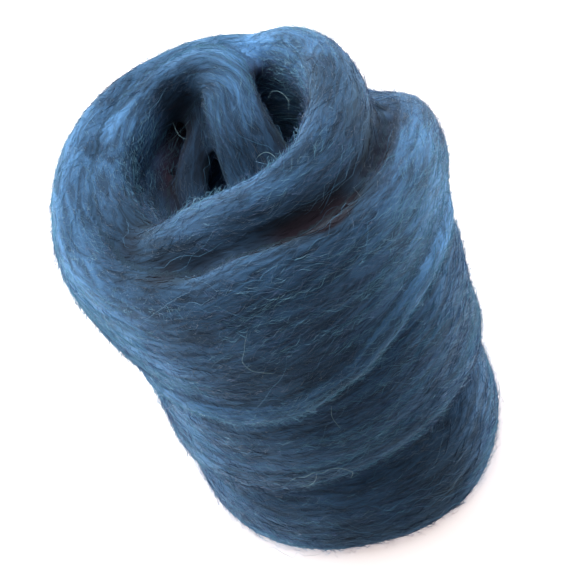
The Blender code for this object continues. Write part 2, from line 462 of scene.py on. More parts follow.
def unit(vectors: np.ndarray) -> np.ndarray:
    """Gives the vectors a length of 1."""
    return vectors / np.linalg.norm(vectors, axis=-1, keepdims=True)


def cubic(rows: np.ndarray, slope: np.ndarray, i: np.ndarray, s: np.ndarray, span: Any = 1.0) -> np.ndarray:
    """Runs a smooth cubic between neighbouring rows.

    Args:
        rows: the rows.
        slope: how fast each changes.
        i: the row before each place wanted.
        s: how far each place is from that row to the next, 0 to 1.
        span: the distance between the two rows, in the slope's unit.

    Returns:
        A row for each place.
    """
    return (
        (2 * s**3 - 3 * s**2 + 1) * rows[i]
        + (s**3 - 2 * s**2 + s) * span * slope[i]
        + (3 * s**2 - 2 * s**3) * rows[i + 1]
        + (s**3 - s**2) * span * slope[i + 1]
    )


def smooth_rows(rows: Rows, columns: tuple[str, ...], step: float) -> dict[str, np.ndarray]:
    """Runs a smooth curve through a strand's rows.

    Args:
        rows: the table, in millimetres and degrees.
        columns: its column names, the first three angle, radius and height.
        step: spacing of the values wanted, in millimetres.

    Returns:
        One array for each column.
    """
    table = np.array(rows, float)
    angle, radius, height = table[:, 0], table[:, 1], table[:, 2]
    turn = np.radians(np.diff(angle)) * (radius[1:] + radius[:-1]) / 2
    apart = np.sqrt(turn**2 + np.diff(radius) ** 2 + np.diff(height) ** 2)
    at = np.concatenate([[0.0], np.cumsum(apart)])
    slope = np.gradient(table, at, axis=0)
    where = np.linspace(0.0, at[-1], int(at[-1] / step) + 1)
    i = np.clip(np.searchsorted(at, where, side="right") - 1, 0, len(at) - 2)
    span = (at[i + 1] - at[i])[:, None]
    s = (where[:, None] - at[i][:, None]) / span
    return dict(zip(columns, cubic(table, slope, i, s, span).T, strict=True))


# ---------------------------------------------------------------- finishes


class Tone(Enum):
    """The wool's tones, from painted shade for the depth of a fold to the palest fibre tips."""

    SHADE = "#241b24"
    DEEP = "#30465d"
    DARK = "#3d5775"
    MID = "#486d91"
    LIGHT = "#5284a6"
    PALE = "#6ca0b9"
    TIP = "#7fa7b2"
    VIOLET = "#50688f"


def new_material(name: str, values: dict[str, Any]) -> bpy.types.Material:
    """Makes a material of one Principled shader.

    Args:
        name: its name.
        values: the shader's sockets that are set, and their values.

    Returns:
        The material.
    """
    material = bpy.data.materials.new(name)
    material.use_nodes = True
    for socket, value in values.items():
        material.node_tree.nodes["Principled BSDF"].inputs[socket].default_value = value
    return material


@dataclass(frozen=True)
class WoolFibre:
    """Dyed merino fibre: matte, with a faint sheen from its scaly skin that lightens it at a glance."""

    name: str
    tone: Tone
    roughness: float = 0.75
    sheen: float = 0.85
    sheen_roughness: float = 0.45
    sheen_colour: str = "#dde6e8"
    specular: float = 0.25

    def material(self) -> bpy.types.Material:
        """Makes the material.

        Returns:
            One plain colour, for fibres too fine to carry a pattern.
        """
        values = {
            "Base Color": linear(self.tone.value),
            "Roughness": self.roughness,
            "Sheen Weight": self.sheen,
            "Sheen Roughness": self.sheen_roughness,
            "Sheen Tint": linear(self.sheen_colour),
            "Specular IOR Level": self.specular,
        }
        return new_material(self.name, values)


@dataclass(frozen=True)
class CardedWool:
    """Carded wool seen as a mass: matte clumps of parallel fibres, darker between them, with painted shade in
    the folds.
    """

    name: str = "carded_wool"
    between: Tone = Tone.DEEP
    on_top: Tone = Tone.MID
    between_at: float = 0.4  # height in the streaks' noise, up to which a place is between the clumps
    on_top_at: float = 0.6  # height from which it is on top
    clump_length: float = 9.0  # mm along the strand
    clump_width: float = 2.0  # mm across it
    ridge: float = 0.35  # mm from between the clumps to their tops
    shut: float = 0.5  # openness at which a fold's painted shade is at its darkest
    open: float = 0.95  # openness from which it keeps its own colour
    deepest: float = -2.4  # stops of painted light at which it turns to the painted shade's colour
    deep: float = -1.0  # stops of painted light at which that begins
    roughness: float = 0.9
    sheen: float = 0.4
    sheen_colour: str = "#7ca4b8"
    specular: float = 0.2

    def material(self) -> bpy.types.Material:
        """Makes the material.

        Returns:
            Streaks in colour and bump on the strand's own coordinates, with painted shade and painted light.
        """
        values = {
            "Roughness": self.roughness,
            "Sheen Weight": self.sheen,
            "Sheen Tint": linear(self.sheen_colour),
            "Specular IOR Level": self.specular,
        }
        wool = new_material(self.name, values)
        tree = wool.node_tree
        put = partial(add_node, tree)
        space = put("ShaderNodeAttribute", attribute_name="strand_space").outputs["Vector"]
        scale = (1 / (self.clump_length * MM), 1 / (self.clump_width * MM), 1 / (self.clump_width * MM))
        stretched = put(VECTOR_MATH, (space, scale), "MULTIPLY")
        grain = {"Vector": stretched, "Scale": 1.0, "Detail": 4.0, "Roughness": 0.66, "Distortion": 1.0}
        streaks = put(NOISE, grain)
        ramp = put("ShaderNodeValToRGB", {"Fac": streaks})
        stops = ((self.between_at, self.between), (self.on_top_at, self.on_top))
        for stop, (position, tone) in zip(ramp.color_ramp.elements, stops, strict=True):
            stop.position = position
            stop.color = linear(tone.value)

        # painted shade: the folds go to the painted shade's colour
        openness = put("ShaderNodeAttribute", attribute_name="openness").outputs["Fac"]
        ends = {"Value": openness, "From Min": self.shut, "From Max": self.open}
        shown = put(RANGE, ends, interpolation_type="SMOOTHSTEP")
        shade = linear(Tone.SHADE.value)
        colour = put("ShaderNodeMix", {"Factor": shown, "A": shade, "B": ramp}, data_type="RGBA")

        # painted light and shade: the patches brighten and darken the colour, and the darkest go to the
        # painted shade's colour
        dye = put("ShaderNodeAttribute", attribute_name="dye").outputs["Fac"]
        factor = put(MATH, (2.0, dye), "POWER")
        painted_brightness = put("ShaderNodeHueSaturation", {"Value": factor, "Color": colour})
        ends = {"Value": dye, "From Min": self.deepest, "From Max": self.deep}
        depth = put(RANGE, ends, interpolation_type="SMOOTHSTEP")
        painted_colour = put("ShaderNodeMix", {"Factor": depth, "A": shade, "B": painted_brightness}, data_type="RGBA")

        bump = put("ShaderNodeBump", {"Height": streaks, "Distance": self.ridge * MM, "Strength": 1.0})
        shader = tree.nodes["Principled BSDF"]
        tree.links.new(result(painted_colour), shader.inputs["Base Color"])
        tree.links.new(result(bump), shader.inputs["Normal"])
        return wool


# ---------------------------------------------------------------- the wound form


@dataclass
class Loft:
    """A skin over rings of points, with the flow of its fibres.

    Attributes:
        name: the piece's name.
        points: rings by points by three, in metres.
        along: metres along the fibres' way, rings by points plus one for the closing edge.
        across: the place round or across the way, 0 to 1, rings by points plus one.
        girth: metres round the section at each ring.
        space: the pattern's own coordinates in metres, rings by points by three.
        tile: a whole number that sets this loft's flow coordinates apart from the others'.
    """

    name: str
    points: np.ndarray
    along: np.ndarray
    across: np.ndarray
    girth: np.ndarray
    space: np.ndarray
    tile: int

    def mesh(self) -> bpy.types.Mesh:
        """Makes the mesh.

        Returns:
            The closed mesh, with its flow map and its pattern's coordinates.
        """
        rings, n = self.points.shape[:2]
        i, j = np.meshgrid(np.arange(rings - 1), np.arange(n), indexing="ij")
        here, right = i * n + j, i * n + (j + 1) % n
        quads = np.stack([here, here + n, right + n, right], -1).reshape(-1, 4)
        sides = [tuple(q) for q in quads.tolist()]
        caps = [tuple(range(n)), tuple((rings - 1) * n + k for k in reversed(range(n)))]
        mesh = bpy.data.meshes.new(self.name)
        mesh.from_pydata(self.points.reshape(-1, 3).tolist(), [], sides + caps)
        ring = np.stack([i, i + 1, i + 1, i], -1).reshape(-1)
        spot = np.stack([j, j, j + 1, j + 1], -1).reshape(-1)
        cap_ring = np.repeat([0, rings - 1], n)
        u = np.concatenate([self.along[ring, spot], self.along[cap_ring, 0]])
        v = np.concatenate([self.tile + self.across[ring, spot], np.full(2 * n, self.tile + 0.5)])
        girth = np.concatenate([self.girth[ring], self.girth[cap_ring]])
        flow_map = mesh.uv_layers.new(name="flow_map")
        flow_map.data.foreach_set("uv", np.stack([u, v], -1).astype(np.float32).ravel())
        store(mesh, "flow", np.stack([u, v, girth], -1), "CORNER")
        store(mesh, "strand_space", self.space.reshape(-1, 3))
        mesh.shade_smooth()
        mesh.update()
        return mesh


@dataclass
class Strand:
    """One flattened strand on a winding path.

    Attributes:
        name: the piece's name.
        rows: its table.
        tile: its place in the flow coordinates.
        section_points: points round a section.
        step: spacing of the sections, in millimetres.
        power: 2 gives an oval section, more a squarer one.
        pattern_apart: millimetres between one strand's pattern and the next one's.
    """

    name: str
    rows: Rows
    tile: int
    section_points: int = 80
    step: float = 1.6
    power: float = 2.35
    pattern_apart: float = 40.0

    def loft(self) -> Loft:
        """Sweeps the section along the path.

        Returns:
            The skin, with fibres that run along it.
        """
        at = smooth_rows(self.rows, STRAND_COLUMNS, self.step)
        turn = np.radians(at["angle"])
        x = AXIS_LEAN * at["height"] + at["radius"] * np.cos(turn)
        middle = np.stack([x, at["radius"] * np.sin(turn), at["height"] - SINK], -1)
        way = unit(np.gradient(middle, axis=0))
        out = np.stack([np.cos(turn), np.sin(turn), np.zeros_like(turn)], -1)
        out = unit(out - (out * way).sum(-1, keepdims=True) * way)
        up = np.cross(out, way)
        n = self.section_points
        round_it = np.linspace(0, 2 * np.pi, n, endpoint=False)
        bend = 2 / self.power
        u = at["tall"][:, None] * np.sign(np.cos(round_it)) * np.abs(np.cos(round_it)) ** bend
        v = at["thick"][:, None] * np.sign(np.sin(round_it)) * np.abs(np.sin(round_it)) ** bend
        tip = np.radians(at["tip"])[:, None]
        tall_way = u * np.cos(tip) + v * np.sin(tip)
        thick_way = v * np.cos(tip) - u * np.sin(tip)
        points = middle[:, None] + tall_way[..., None] * up[:, None] + thick_way[..., None] * out[:, None]
        points[..., 2] = np.maximum(points[..., 2], 0.0)
        side = np.linalg.norm(np.roll(points, -1, axis=1) - points, axis=-1)
        across = np.concatenate([np.zeros((len(side), 1)), np.cumsum(side, axis=1)], axis=1)
        girth = across[:, -1]
        length = np.cumsum(np.linalg.norm(np.diff(middle, axis=0, prepend=middle[:1]), axis=1))
        pattern = (np.broadcast_to(length[:, None], u.shape), u, v + self.pattern_apart * self.tile)
        return Loft(
            name=self.name,
            points=points * MM,
            along=np.repeat(length[:, None] * MM, n + 1, axis=1),
            across=across / girth[:, None],
            girth=girth * MM,
            space=np.stack(pattern, -1) * MM,
            tile=self.tile,
        )


@dataclass
class Core:
    """The wound middle: stacked rings that lean with the axis, with the hollow in the top."""

    name: str = "wound_core"
    tile: int = 3
    ring_points: int = 120
    rings_per_row: int = 5
    pattern_at: float = 160.0  # mm, which keeps its pattern apart from the strands'
    seam: float = 1.001  # the flow map's height over the rings' length, so that its edges don't meet

    def loft(self) -> Loft:
        """Stacks the rings.

        Returns:
            The skin, with fibres that run round it.
        """
        table = np.array(CORE_ROWS, float)
        rows = np.arange(len(table))
        fine = np.linspace(0, rows[-1], rows[-1] * self.rings_per_row + 1)
        at = {name: np.interp(fine, rows, table[:, k])[:, None] for k, name in enumerate(CORE_COLUMNS)}
        n = self.ring_points
        turn = np.linspace(0, 2 * np.pi, n, endpoint=False) + np.pi / 2
        height = np.repeat(at["height"], n, axis=1)
        x = AXIS_LEAN * height + at["middle_x"] + at["half_x"] * np.cos(turn)
        y = at["middle_y"] + at["half_y"] * np.sin(turn)
        points = np.stack([x, y, np.maximum(height - SINK, 0.0)], -1)
        length = np.linalg.norm(np.diff(points[:, 0], axis=0, prepend=points[:1, 0]), axis=1).cumsum()
        around = np.linspace(0, 2 * np.pi, n + 1) * (at["half_x"] + at["half_y"]) / 2
        climb = np.repeat(length[:, None], n, axis=1)
        pattern = (around[:, :n], climb, np.full_like(height, self.pattern_at))
        return Loft(
            name=self.name,
            points=points * MM,
            along=around * MM,
            across=np.repeat(length[:, None] / (length[-1] * self.seam), n + 1, axis=1),
            girth=np.full(len(length), length[-1]) * MM,
            space=np.stack(pattern, -1) * MM,
            tile=self.tile,
        )


@dataclass
class ClumpRelief:
    """Soft ridges along the strand, where the fibres gather into clumps.

    Attributes:
        broad_length, broad_width, broad_height: the wide, slow ridges, in millimetres.
        fine_length, fine_width, fine_height: the narrow ones on them.
    """

    broad_length: float = 20.0
    broad_width: float = 4.4
    broad_height: float = 2.2
    fine_length: float = 12.0
    fine_width: float = 1.8
    fine_height: float = 0.8

    UNITS = {f"{size} {name}": MM for size in ("Broad", "Fine") for name in ("Length", "Width", "Height")}

    def tree(self) -> Tree:
        """Builds the tree.

        Returns:
            A tree that moves a skin along its normals by two stretched noises.
        """
        tree = new_tree("clump_relief", dict.fromkeys(self.UNITS, "Float"))
        put = partial(add_node, tree)
        given = put("NodeGroupInput").outputs
        space = put(READ, ("strand_space",), data_type=VECTOR)
        ridges = []
        for size in ("Broad", "Fine"):
            length, width = given[f"{size} Length"], given[f"{size} Width"]
            cell = put(COMBINE, (length, width, width))
            scaled = put(VECTOR_MATH, (space, cell), "DIVIDE")
            noise = put(NOISE, {"Vector": scaled, "Scale": 1.0, "Detail": 1.5})
            centred = put(MATH, (noise, 0.5), "SUBTRACT")
            ridges.append(put(MATH, (centred, given[f"{size} Height"]), "MULTIPLY"))
        total = put(MATH, tuple(ridges), "ADD")
        normal = put("GeometryNodeInputNormal")
        move = put(VECTOR_MATH, {"Vector": normal, "Scale": total}, "SCALE")
        end_tree(tree, put(MOVE, {"Geometry": given["Geometry"], "Offset": move}))
        return tree


# openness also sets the painted shade of the folds, in the wool's colour and in the fibres' tones
@dataclass
class Openness:
    """How open each place of the wound form is to its surroundings: 1 on a crest, near 0 in a fold.

    Attributes:
        reach: how far away a turn still shuts a place in, in millimetres.
        start: how far off the skin the looks start, in millimetres.
        looks: directions looked in from each place.
        blur: rounds of evening out.
    """

    reach: float = 20.0
    start: float = 0.5
    looks: int = 28
    blur: int = 8

    UNITS = {"Reach": MM, "Start": MM, "Looks": 1, "Blur": 1}

    def tree(self) -> Tree:
        """Builds the tree.

        Returns:
            A tree that looks round from each point and stores the share of free way.
        """
        kinds = {"Reach": "Float", "Start": "Float", "Looks": "Int", "Blur": "Int"}
        tree = new_tree("openness", kinds)
        put = partial(add_node, tree)
        given = put("NodeGroupInput").outputs
        begin = put("GeometryNodeRepeatInput")
        finish = put("GeometryNodeRepeatOutput")
        begin.pair_with_output(finish)
        tree.links.new(given["Looks"], begin.inputs["Iterations"])
        none = put(STORE, {"Geometry": given["Geometry"], "Name": "openness", "Value": 0.0})
        tree.links.new(result(none), begin.inputs["Geometry"])

        # one look a round: a ray in a random direction of the outer half, from just off the skin
        normal = put("GeometryNodeInputNormal")
        box = {"Min": (-1.0, -1.0, -1.0), "Max": (1.0, 1.0, 1.0), "Seed": begin.outputs["Iteration"]}
        any_way = put(VECTOR_MATH, (put(RANDOM, box, data_type=VECTOR),), "NORMALIZE")
        way = put(VECTOR_MATH, (any_way, normal), "ADD")
        off = put(VECTOR_MATH, {"Vector": normal, "Scale": given["Start"]}, "SCALE")
        source = put(VECTOR_MATH, (put(POSITION), off), "ADD")
        ray = {"Source Position": source, "Ray Direction": way, "Ray Length": given["Reach"]}
        look = put("GeometryNodeRaycast", {"Target Geometry": given["Geometry"]} | ray).outputs
        far = put(MATH, (look["Hit Distance"], given["Reach"]), "DIVIDE")
        ways = {"Switch": look["Is Hit"], "False": 1.0, "True": far}
        free = put("GeometryNodeSwitch", ways, input_type="FLOAT")
        part = put(MATH, (free, given["Looks"]), "DIVIDE")
        total = put(MATH, (put(READ, ("openness",)), part), "ADD")
        noted = put(STORE, {"Geometry": begin.outputs["Geometry"], "Name": "openness", "Value": total})
        tree.links.new(result(noted), finish.inputs["Geometry"])

        blurred = {"Value": put(READ, ("openness",)), "Iterations": given["Blur"]}
        even = put("GeometryNodeBlurAttribute", blurred, data_type="FLOAT")
        kept = {"Geometry": finish.outputs["Geometry"], "Name": "openness", "Value": even}
        end_tree(tree, put(STORE, kept))
        return tree

    def measure(self, skin: bpy.types.Object) -> None:
        """Stores the openness on a skin.

        Args:
            skin: the closed skin, which shuts itself in where it folds.
        """
        measured = grown(skin, self.tree(), in_tree_units(self, self.UNITS), "measured")
        skin.data = measured.data
        bpy.data.objects.remove(measured)


@dataclass
class PaintedLight:
    """Painted light and shade on the wool: soft patches that brighten it in some places and darken it in
    others, most in the folds.
    """

    patches: Rows = PAINTED_LIGHT_ROWS
    # painted light: the rolled edge is half a stop brighter all over
    by_turn: dict[str, float] = field(default_factory=lambda: {"rolled_edge": 0.5})

    def stain(self, turn: bpy.types.Object) -> None:
        """Stores the painted light and shade, in stops, on one of the turns.

        Args:
            turn: the turn's skin.
        """
        place = np.empty(len(turn.data.vertices) * 3, np.float32)
        turn.data.vertices.foreach_get("co", place)
        place = place.reshape(-1, 3) / MM
        stops = np.full(len(place), self.by_turn.get(turn.name, 0.0), np.float32)
        for *middle, size, depth in self.patches:
            away = np.linalg.norm(place - np.array(middle, float), axis=1) / size
            stops += depth * np.exp(-(away**2))
        store(turn.data, "dye", stops)


@dataclass
class WoundRoll:
    """The wound body: the strand, its thin inner turn, the band's rolled edge and the middle."""

    strands: tuple[Strand, ...] = (
        Strand("roving_strand", STRAND_ROWS, tile=0),
        Strand("inner_turn", INNER_TURN_ROWS, tile=1, section_points=32),
        Strand("rolled_edge", ROLLED_EDGE_ROWS, tile=2, section_points=36),
    )
    core: Core = field(default_factory=Core)
    relief: ClumpRelief = field(default_factory=ClumpRelief)
    dye: PaintedLight = field(default_factory=PaintedLight)

    def build(self) -> bpy.types.Object:
        """Makes the turns and joins them in one helper that the fibres' flow is read from.

        Returns:
            The helper, with its normals stored as "outward". It is removed after use.
        """
        tree = self.relief.tree()
        ridges = in_tree_units(self.relief, self.relief.UNITS)
        build = bmesh.new()
        for part in (*self.strands, self.core):
            rough = new_object(part.name + "_rough", part.loft().mesh())
            turn = grown(rough, tree, ridges, part.name)
            face_outwards(turn.data)
            self.dye.stain(turn)
            build.from_mesh(turn.data)
            for used in (rough, turn):
                bpy.data.objects.remove(used)
        mesh = bpy.data.meshes.new("turns")
        build.to_mesh(mesh)
        build.free()
        store_normals(mesh)
        return new_object("turns", mesh)


@dataclass
class FeltedSkin:
    """The turns joined in one skin, with soft valleys where the wool has felted together.

    Attributes:
        name: the piece's name.
        cell: size of the skin's faces, in millimetres.
        fill: radius that the valleys are filled to, in millimetres.
        steps: how many small moves out, and back in, do that.
        evening: rounds of smoothing.
        finish: its wool.
        openness: how its folds are measured.
    """

    name: str = "wound_wool"
    cell: float = 0.76
    fill: float = 1.1
    steps: int = 3
    evening: int = 2
    finish: CardedWool = field(default_factory=CardedWool)
    openness: Openness = field(default_factory=Openness)

    def tree(self) -> Tree:
        """Builds the tree.

        Returns:
            A tree that gives the skin its pattern's coordinates, its painted light and shade and its
            material.
        """
        tree = new_tree("felted_skin", {"Turns": "Object", "Material": "Material"})
        put = partial(add_node, tree)
        given = put("NodeGroupInput").outputs
        turns = put("GeometryNodeObjectInfo", {"Object": given["Turns"]}).outputs["Geometry"]
        skin = given["Geometry"]
        for name, kind in (("strand_space", VECTOR), ("dye", "FLOAT")):
            value = put(READ, (name,), data_type=kind)
            nearest = put(NEAREST, {"Mesh": turns, "Value": value}, data_type=kind)
            skin = put(STORE, {"Geometry": skin, "Name": name, "Value": nearest}, data_type=kind)
        above = put(VECTOR_MATH, (put(POSITION), (ANYWHERE, ANYWHERE, 0.0)), "MAXIMUM")
        end_tree(tree, put(MOVE, {"Geometry": skin, "Position": above}), given["Material"])
        return tree

    def build(self, turns: bpy.types.Object) -> bpy.types.Object:
        """Makes the skin, dressed and riding.

        Args:
            turns: the helper that holds the turns.

        Returns:
            The piece, with its normals stored as "outward".
        """
        rough = new_object(self.name + "_rough", turns.data)
        step = self.fill / self.steps
        for number, offset in enumerate([step] * self.steps + [-step] * self.steps):
            cells = rough.modifiers.new(f"cells_{number}", "REMESH")
            cells.mode = "VOXEL"
            cells.voxel_size = self.cell * MM
            even = rough.modifiers.new(f"even_{number}", "SMOOTH")
            even.iterations = 1
            moved = rough.modifiers.new(f"moved_{number}", "DISPLACE")
            moved.mid_level = 0.0
            moved.strength = offset * MM
        even = rough.modifiers.new("even_last", "SMOOTH")
        even.iterations = self.evening
        values = {"Turns": turns, "Material": self.finish.material()}
        piece = grown(rough, self.tree(), values, self.name)
        bpy.data.objects.remove(rough)
        self.openness.measure(piece)
        store_normals(piece.data)
        seat(piece)
        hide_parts(NODE)
        return piece


# ---------------------------------------------------------------- fibres


# the fibre tree's sizes, and what one of a layer's units is in the tree's
FIBRE_UNITS = {
    "Density": 1e4,
    "Tone From": 1.0,
    "Tone To": 1.0,
    "Shortest": MM,
    "Longest": MM,
    "Half Width": MM,
    "Slant": 1.0,
    "Wave": MM,
    "Wave Length": MM,
    "Least Lift": MM,
    "Most Lift": MM,
    "Free Ends": 1.0,
    "Wander": MM,
    "Roll": radians(1.0),
    "Shading": 1.0,
    "Mix": 1.0,
}


class FibreTree:
    """The Geometry Nodes tree that lays fibres along the strand's flow.

    It scatters roots on the felted skin, reads the flow coordinates of the nearest turn there, draws each
    fibre in those coordinates, brings it back to the skin with some lift and sweeps a flat ribbon along it.
    """

    TURN = 6.2832  # radians in a wave
    HALF_TURN = 3.1416
    WAVE_SPREAD = (0.7, 1.4)  # of the wave length, from fibre to fibre
    SWING_SPREAD = (0.3, 1.0)  # of how far it waves
    WIDTH_SPREAD = (0.6, 1.3)  # of its width
    FINER_WAVE = 2.7  # waves of the finer one for each of the first
    FINER_SWING = 0.35  # of the first's
    RIPPLE = 1.3  # waves of the lift for each of the line
    RIPPLE_HEIGHT = 0.35  # of the lift
    FREE_RISE = 1.6  # the power by which a free end rises
    WANDER_SCALE = 0.45  # of the noise that strays along a fibre
    TAPER_POWER = 0.6
    TIP_WIDTH = 0.25  # of the full width

    def __init__(self) -> None:
        """Makes the tree with its named inputs, and links it."""
        kinds = {"Guide": "Object"} | dict.fromkeys(FIBRE_UNITS, "Float")
        self.tree = new_tree("laid_fibres", kinds | {"Points": "Int", "Seed": "Int", "Material": "Material"})
        self.put = partial(add_node, self.tree)
        self.given = self.put("NodeGroupInput").outputs
        self.guide = self.put("GeometryNodeObjectInfo", {"Object": self.given["Guide"]}).outputs["Geometry"]
        roots = self._roots()
        points, self.fibre, self.share = self._rows(roots)
        root, self.open_here = self._at_root(roots)
        spot, self.waves = self._line(root)
        end_tree(self.tree, self._ribbons(self._placed(points, spot)), self.given["Material"])

    def _drawn(self, low: Any, high: Any, fibre: Node, number: int) -> Node:
        """Draws a value that is the same all along a fibre.

        Args:
            low, high: the least and the most that it can be.
            fibre: the fibre's number.
            number: the draw's own, added to the seed.

        Returns:
            The node that gives it.
        """
        seed = self.put(WHOLE_MATH, (self.given["Seed"], number))
        return self.put(RANDOM, {"Min": low, "Max": high, "ID": fibre, "Seed": seed})

    def _roots(self) -> Node:
        """Scatters the roots, reads their flow coordinates and keeps those of the wanted tone.

        Returns:
            The roots, as points with a "root" attribute.
        """
        given, put = self.given, self.put
        scatter = {"Mesh": given["Geometry"], "Density": given["Density"], "Seed": given["Seed"]}
        points = put("GeometryNodeDistributePointsOnFaces", scatter)
        flow = put(READ, ("flow",), data_type=VECTOR)
        nearest = put(NEAREST, {"Mesh": self.guide, "Value": flow}, data_type=VECTOR)
        points = put(STORE, {"Geometry": points, "Name": "root", "Value": nearest}, data_type=VECTOR)

        # the tone: its clump's, some of its own, the fold's painted shade and the patches' painted light and
        # shade
        root = put(SEPARATE, (put(READ, ("root",), data_type=VECTOR),)).outputs
        cell_length = put(MATH, (root["X"], CLUMP_LENGTH * MM), "DIVIDE")
        around = put(MATH, (root["Y"], root["Z"]), "MULTIPLY")
        cell_width = put(MATH, (around, CLUMP_WIDTH * MM), "DIVIDE")
        cell = put(COMBINE, (cell_length, cell_width))
        clump = put(NOISE, {"Vector": cell, "Scale": 1.0, "Detail": 1.0})
        own = self._drawn(-0.5, 0.5, put("GeometryNodeInputIndex"), 1)
        openness = put(READ, ("openness",))
        tone = put(MATH, (own, given["Mix"], clump), "MULTIPLY_ADD")
        shut = put(MATH, (CREST_OPENNESS, openness), "SUBTRACT")
        shut = put(MATH, (shut, 0.0), "MAXIMUM")
        shade = put(MATH, (shut, given["Shading"]), "MULTIPLY")
        tone = put(MATH, (tone, shade), "SUBTRACT")
        tone = put(MATH, (put(READ, ("dye",)), TONE_PER_STOP, tone), "MULTIPLY_ADD")

        # the roots of other layers, those deep in a fold and those underneath go
        below = put(MATH, (tone, given["Tone From"]), "LESS_THAN")
        above = put(MATH, (tone, given["Tone To"]), "GREATER_THAN")
        other = put(MATH, (below, above), "MAXIMUM")
        hidden = put(MATH, (openness, LEAST_OPENNESS), "LESS_THAN")
        other = put(MATH, (other, hidden), "MAXIMUM")
        height = put(SEPARATE, (put(POSITION),)).outputs["Z"]
        low = put(MATH, (height, UNDERSIDE * MM), "LESS_THAN")
        other = put(MATH, (other, low), "MAXIMUM")
        return put("GeometryNodeDeleteGeometry", {"Geometry": points, "Selection": other})

    def _rows(self, roots: Node) -> tuple[Node, Node, Node]:
        """Makes a row of points for each root.

        Args:
            roots: the roots.

        Returns:
            The points, each one's fibre by number, and its share of the way along it.
        """
        given, put = self.given, self.put
        size = put("GeometryNodeAttributeDomainSize", {"Geometry": roots}, component="POINTCLOUD").outputs
        count = put(WHOLE_MATH, (size["Point Count"], given["Points"]), "MULTIPLY")
        points = put("GeometryNodePoints", {"Count": count})
        by_points = (put("GeometryNodeInputIndex"), given["Points"])
        fibre = put(WHOLE_MATH, by_points, "DIVIDE_FLOOR")
        number = put(WHOLE_MATH, by_points, "MODULO")
        last = put(MATH, (given["Points"], 1.0), "SUBTRACT")
        return points, fibre, put(MATH, (number, last), "DIVIDE")

    def _at_root(self, roots: Node) -> tuple[Any, Node]:
        """Reads what each point's fibre has at its root.

        Args:
            roots: the roots.

        Returns:
            The root's flow coordinates, and how open it is there, 1 for a crest.
        """
        found = []
        for name, kind in (("root", VECTOR), ("openness", "FLOAT")):
            at = {"Geometry": roots, "Value": self.put(READ, (name,), data_type=kind), "Index": self.fibre}
            found.append(self.put("GeometryNodeSampleIndex", at, data_type=kind))
        root = self.put(SEPARATE, (found[0],)).outputs
        share = self.put(MATH, (found[1], CREST_OPENNESS), "DIVIDE")
        return root, self.put(MATH, (share, 1.0), "MINIMUM")

    def _line(self, root: Any) -> tuple[Node, Node]:
        """Draws the fibre in flow coordinates: straight on, slanting, and waving.

        Args:
            root: its root's flow coordinates.

        Returns:
            The point's place on the flow map, and its angle in the fibre's wave.
        """
        given, put = self.given, self.put
        centred = put(MATH, (self.share, 0.5), "SUBTRACT")
        length = self._drawn(given["Shortest"], given["Longest"], self.fibre, 2)
        ahead = put(MATH, (centred, length), "MULTIPLY")
        side = self._drawn(-1.0, 1.0, self.fibre, 3)
        slope = put(MATH, (side, put(MATH, (side,), "ABSOLUTE")), "MULTIPLY")
        slope = put(MATH, (slope, given["Slant"]), "MULTIPLY")
        spread = self._drawn(*self.WAVE_SPREAD, self.fibre, 4)
        wave_length = put(MATH, (given["Wave Length"], spread), "MULTIPLY")
        waves = put(MATH, (ahead, self.TURN), "MULTIPLY")
        waves = put(MATH, (waves, wave_length), "DIVIDE")
        begun = self._drawn(0.0, self.TURN, self.fibre, 5)
        wave = put(MATH, (put(MATH, (waves, begun), "ADD"),), "SINE")
        begun = self._drawn(0.0, self.TURN, self.fibre, 6)
        finer = put(MATH, (waves, self.FINER_WAVE, begun), "MULTIPLY_ADD")
        finer = put(MATH, (finer,), "SINE")
        wave = put(MATH, (finer, self.FINER_SWING, wave), "MULTIPLY_ADD")
        spread = self._drawn(*self.SWING_SPREAD, self.fibre, 7)
        swing = put(MATH, (given["Wave"], spread), "MULTIPLY")
        wave = put(MATH, (wave, swing), "MULTIPLY")
        sideways = put(MATH, (slope, ahead, wave), "MULTIPLY_ADD")

        # on the map, with the way round closed on itself inside the turn's own tile
        tile = put(MATH, (root["Y"],), "FLOOR")
        u = put(MATH, (root["X"], ahead), "ADD")
        across = put(MATH, (root["Y"], tile), "SUBTRACT")
        aside = put(MATH, (sideways, root["Z"]), "DIVIDE")
        across = put(MATH, (across, aside), "ADD")
        v = put(MATH, (put(MATH, (across,), "FRACT"), tile), "ADD")
        return put(COMBINE, (u, v)), waves

    def _placed(self, points: Node, spot: Node) -> Node:
        """Moves the points to their places off the skin.

        Args:
            points: the points.
            spot: their places on the flow map.

        Returns:
            The points that have a place, with the attributes that the ribbons read.
        """
        given, put, fibre, share = self.given, self.put, self.fibre, self.share
        flow_map = put(READ, ("flow_map",), data_type=VECTOR)
        sample = {"Mesh": self.guide, "Value": put(POSITION), "UV Map": flow_map, "Sample UV": spot}
        on_turn = put("GeometryNodeSampleUVSurface", sample, data_type=VECTOR)
        near = {"Mesh": given["Geometry"], "Sample Position": on_turn}
        wanted = (put(POSITION), put(READ, ("outward",), data_type=VECTOR))
        on_skin, normal = (put(NEAREST, near | {"Value": value}, data_type=VECTOR) for value in wanted)
        normal = put(VECTOR_MATH, (normal,), "NORMALIZE")

